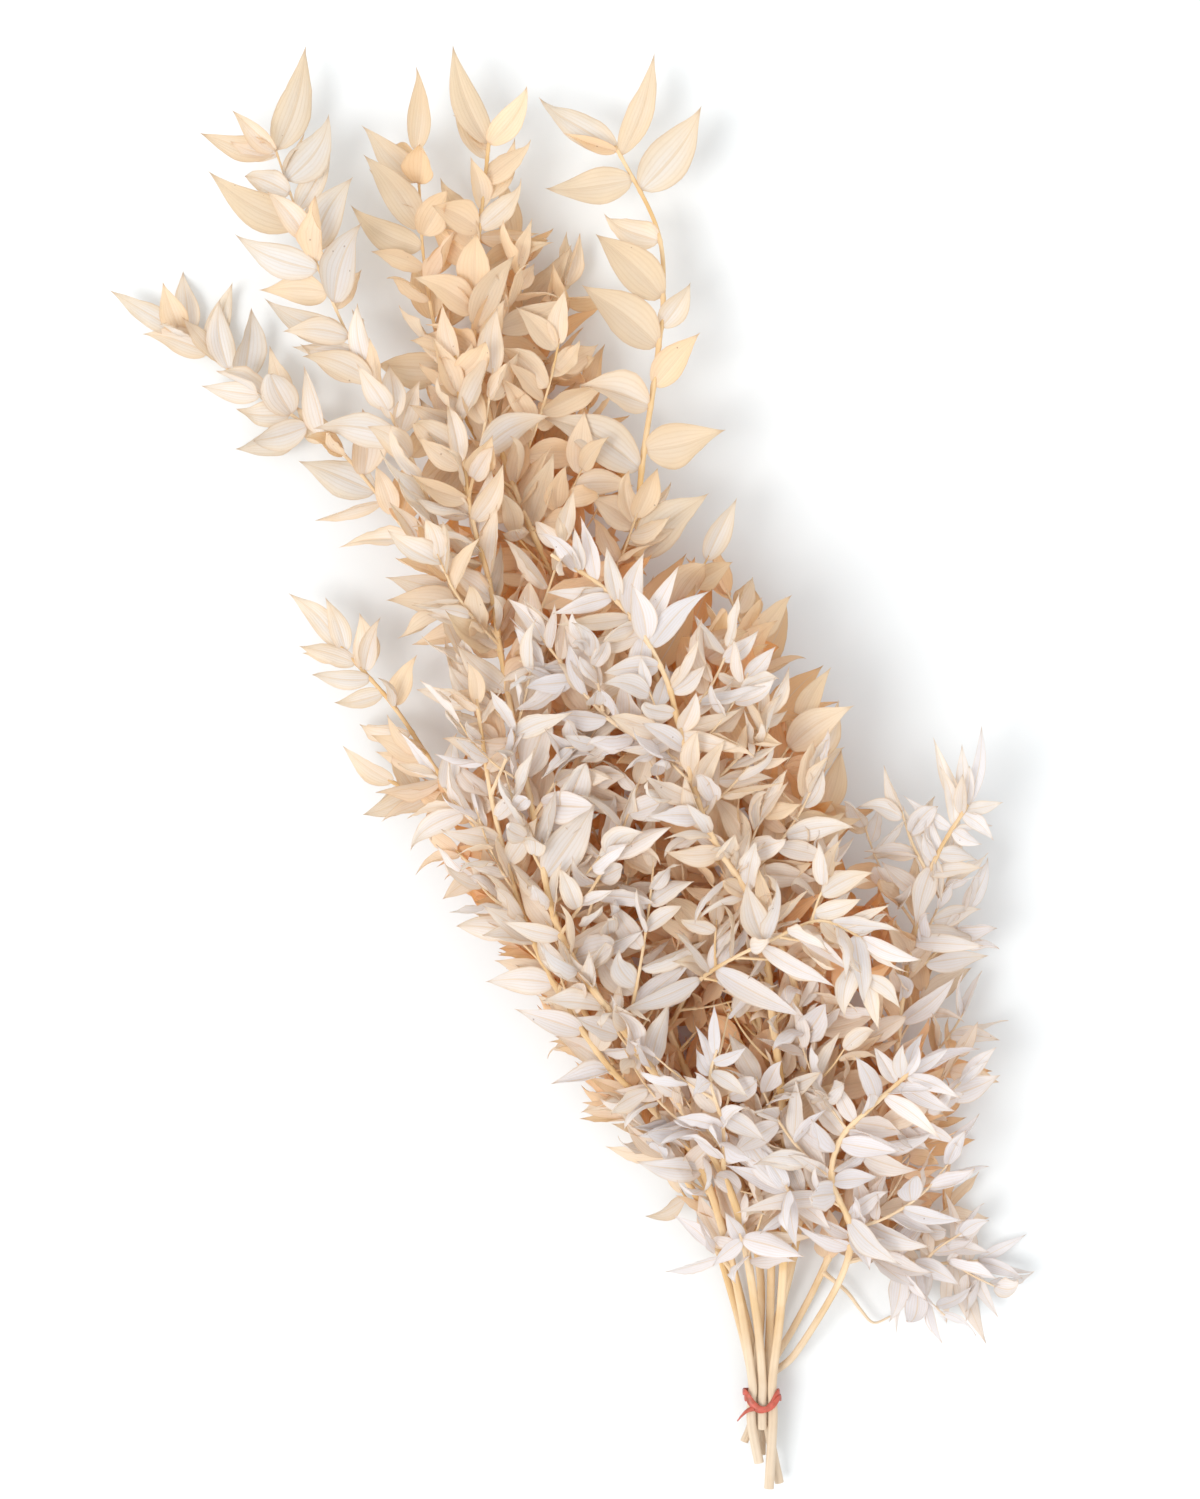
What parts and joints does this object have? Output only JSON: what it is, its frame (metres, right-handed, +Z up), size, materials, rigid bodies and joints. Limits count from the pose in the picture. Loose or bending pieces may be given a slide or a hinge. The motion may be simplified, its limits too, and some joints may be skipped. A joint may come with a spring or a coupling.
{
  "type": "dried ruscus bunch",
  "caption": "Loose bunch of dried, bleached ruscus stems with pointed oval leaves, lying down and held near the cut ends by a red rubber band.",
  "frame": {"origin": "centre of the bunch's footprint, on the surface that it lies on", "axes": "+X to the right of the bunch seen from above, +Y from the cut ends to the tips, +Z up"},
  "size_m": [0.4252, 0.667, 0.1159],
  "materials": {
    "dried_ruscus": "matt, thin and slightly translucent, pale cream to greyish lilac",
    "band_rubber": "satin"
  },
  "bodies": {
    "root": {"leafy_stem_01": "dried_ruscus", "leafy_stem_02": "dried_ruscus", "leafy_stem_03": "dried_ruscus", "leafy_stem_04": "dried_ruscus", "leafy_stem_05": "dried_ruscus", "leafy_stem_06": "dried_ruscus", "leafy_stem_07": "dried_ruscus", "leafy_stem_08": "dried_ruscus", "leafy_stem_09": "dried_ruscus", "leafy_stem_10": "dried_ruscus", "tie_band": "band_rubber"}
  },
  "joints": []
}
